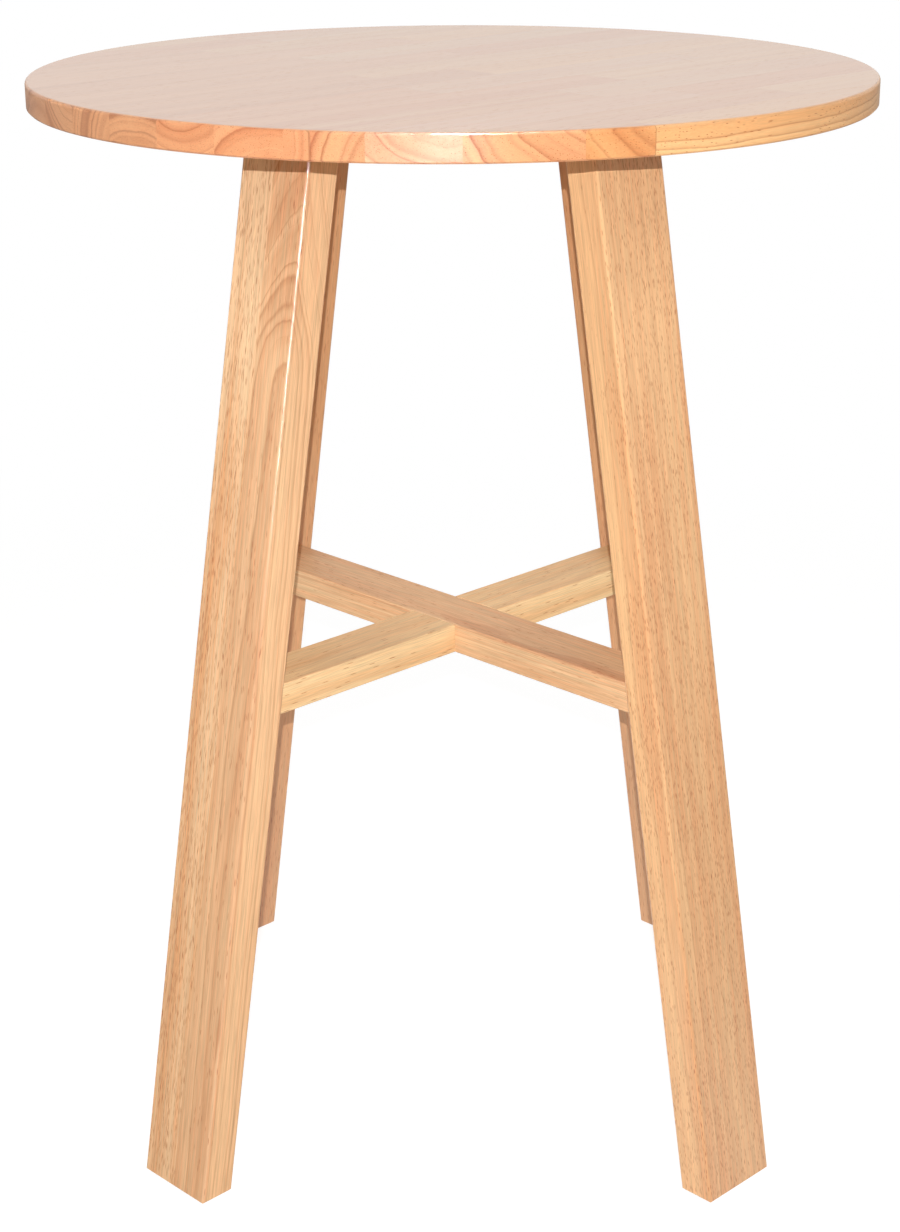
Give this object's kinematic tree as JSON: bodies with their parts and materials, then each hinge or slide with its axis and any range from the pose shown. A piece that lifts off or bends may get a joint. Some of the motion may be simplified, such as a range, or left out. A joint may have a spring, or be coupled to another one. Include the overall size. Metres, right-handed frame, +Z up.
{
  "type": "bar table",
  "caption": "Bar-height table with a round glued hardwood top, splayed flat legs set on the diagonals and crossing half-lapped stretchers.",
  "frame": {"origin": "on the floor, straight below the middle of the top", "axes": "+Z up, -Y towards the front, legs on the diagonals between X and Y"},
  "size_m": [0.8, 0.8, 1.05],
  "materials": {
    "top_wood": "satin clear lacquer on light hardwood staves",
    "leg_wood": "satin clear lacquer on light hardwood",
    "stretcher_wood": "satin clear lacquer on light hardwood",
    "zinc_steel": "bright zinc plate",
    "nylon": "moulded dark brown nylon"
  },
  "bodies": {
    "root": {"top_stave_01": "top_wood", "top_stave_02": "top_wood", "top_stave_03": "top_wood", "top_stave_04": "top_wood", "top_stave_05": "top_wood", "top_stave_06": "top_wood", "top_stave_07": "top_wood", "top_stave_08": "top_wood", "top_stave_09": "top_wood", "top_stave_10": "top_wood", "top_stave_11": "top_wood", "top_stave_12": "top_wood", "top_stave_13": "top_wood", "top_stave_14": "top_wood", "front_left_leg_strip_1": "leg_wood", "front_left_leg_strip_2": "leg_wood", "front_right_leg_strip_1": "leg_wood", "front_right_leg_strip_2": "leg_wood", "back_left_leg_strip_1": "leg_wood", "back_left_leg_strip_2": "leg_wood", "back_right_leg_strip_1": "leg_wood", "back_right_leg_strip_2": "leg_wood", "lower_stretcher_over": "stretcher_wood", "lower_stretcher_under": "stretcher_wood", "upper_rail_over": "stretcher_wood", "upper_rail_under": "stretcher_wood", "top_screws": "zinc_steel", "screw_washers": "zinc_steel", "front_left_foot_glide": "nylon", "front_right_foot_glide": "nylon", "back_left_foot_glide": "nylon", "back_right_foot_glide": "nylon"}
  },
  "joints": []
}
